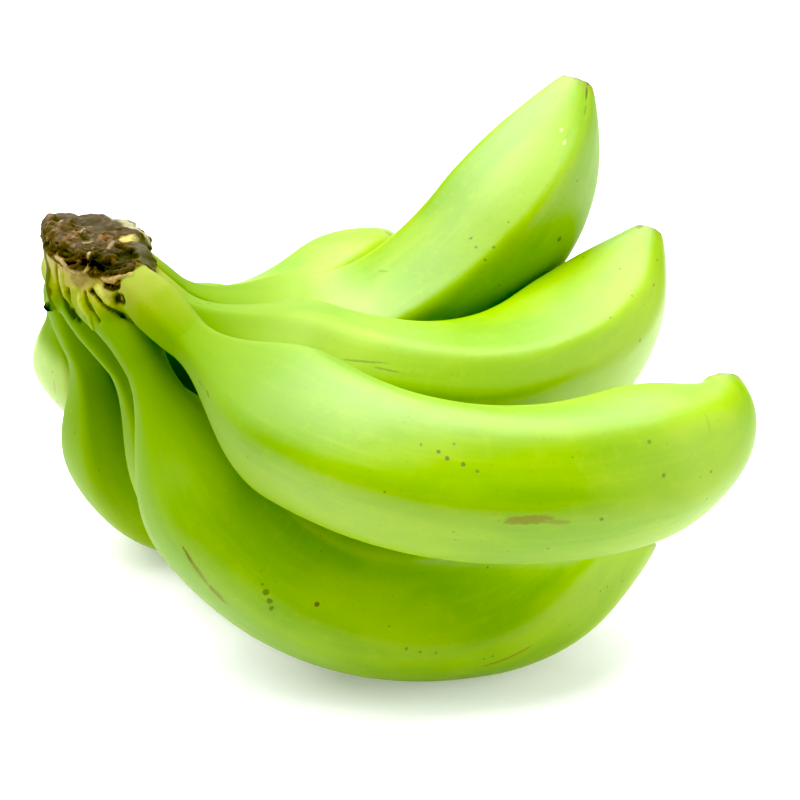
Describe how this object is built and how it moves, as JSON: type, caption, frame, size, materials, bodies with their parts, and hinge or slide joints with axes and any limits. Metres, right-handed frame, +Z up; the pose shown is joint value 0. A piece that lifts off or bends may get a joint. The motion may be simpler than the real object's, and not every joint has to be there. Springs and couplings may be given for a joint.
{
  "type": "hand of green cavendish bananas",
  "caption": "Hand of curved unripe bananas growing from one dried, cut crown and lying on its lower row.",
  "frame": {"origin": "on the resting surface, under the middle of the hand's box", "axes": "+Z up; +X from the crown towards the banana tips at the right of the picture; +Y away from the camera, along the row of bananas"},
  "size_m": [0.2048, 0.237, 0.147],
  "materials": {
    "green_peel": "smooth waxy green peel",
    "dried_crown": "rough dried cut, dark brown"
  },
  "bodies": {
    "root": {"crown": "dried_crown", "banana_upper_front": "green_peel", "banana_upper_second": "green_peel", "banana_upper_third": "green_peel", "banana_upper_back": "green_peel", "banana_lower_front": "green_peel", "banana_lower_second": "green_peel", "banana_lower_third": "green_peel", "banana_lower_back": "green_peel"}
  },
  "joints": []
}
